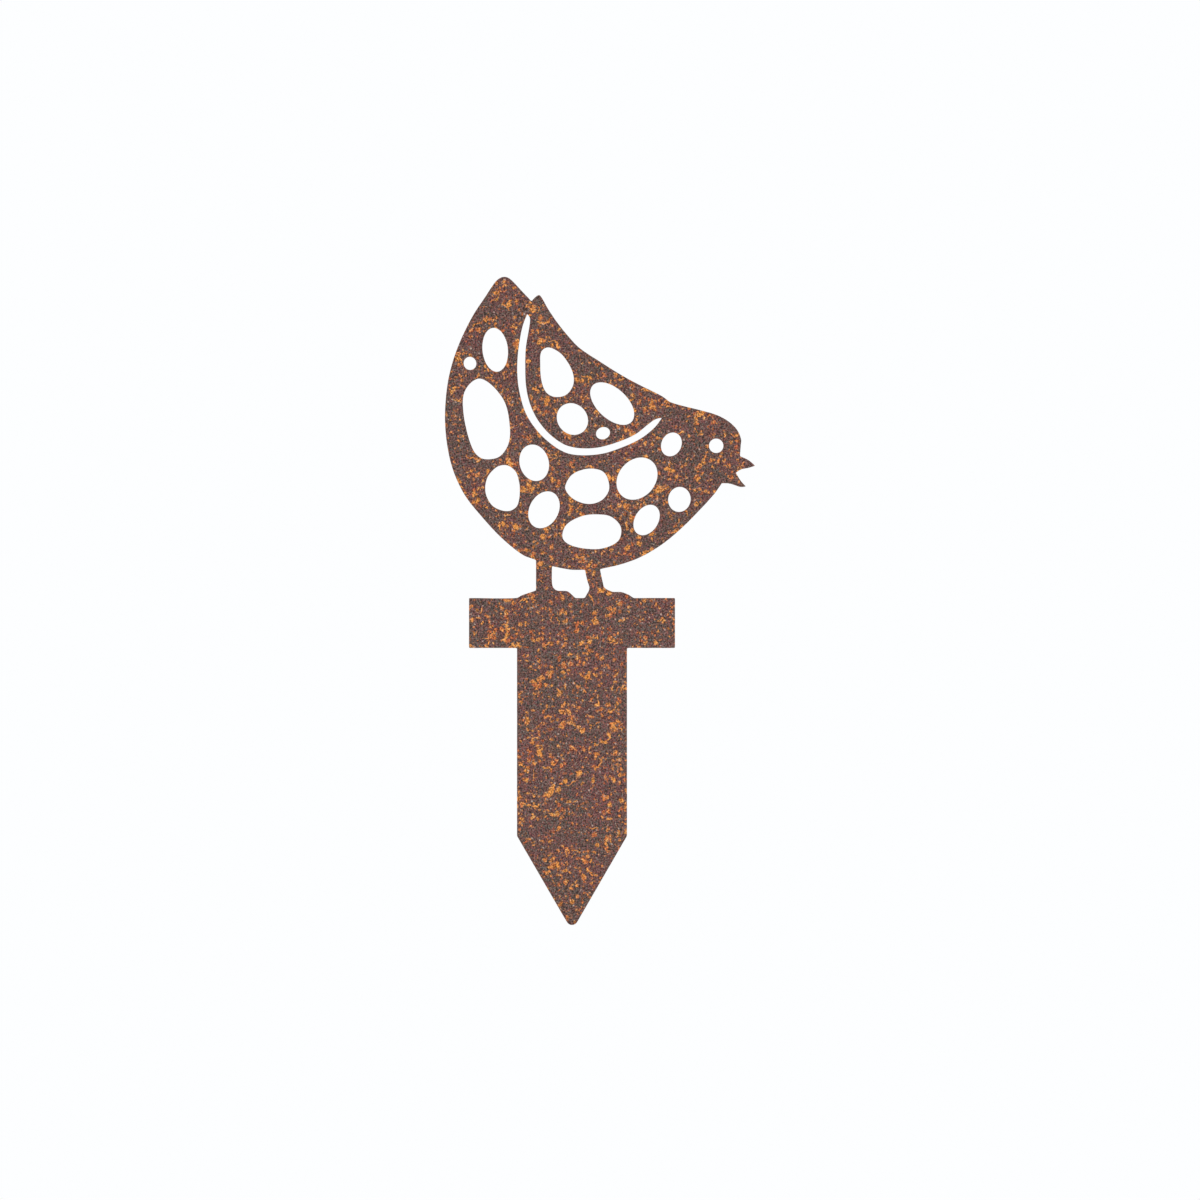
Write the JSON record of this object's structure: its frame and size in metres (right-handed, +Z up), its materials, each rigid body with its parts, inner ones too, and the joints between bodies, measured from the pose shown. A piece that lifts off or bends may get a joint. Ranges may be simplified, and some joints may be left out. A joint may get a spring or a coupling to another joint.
{
  "type": "garden stake",
  "caption": "Flat rusted steel garden stake cut as a standing hen with egg-shaped cut-outs, on a crossbar above a wide pointed blade for the ground.",
  "frame": {"origin": "middle of the crossbar's underside, halfway through the sheet: the point on the ground line where the blade goes in", "axes": "+Z up, against the way the blade is pushed in; +X the way the hen faces; +Y through the sheet, from its front to its back"},
  "size_m": [0.155, 0.002, 0.3241],
  "materials": {
    "rusted_steel": "weathered steel, matt and slightly rough: purple-brown and grey with orange rust specks"
  },
  "bodies": {
    "root": {"hen_body": "rusted_steel", "wing": "rusted_steel", "upper_beak": "rusted_steel", "lower_beak": "rusted_steel", "rear_leg": "rusted_steel", "front_leg": "rusted_steel", "ground_stake": "rusted_steel"}
  },
  "joints": []
}
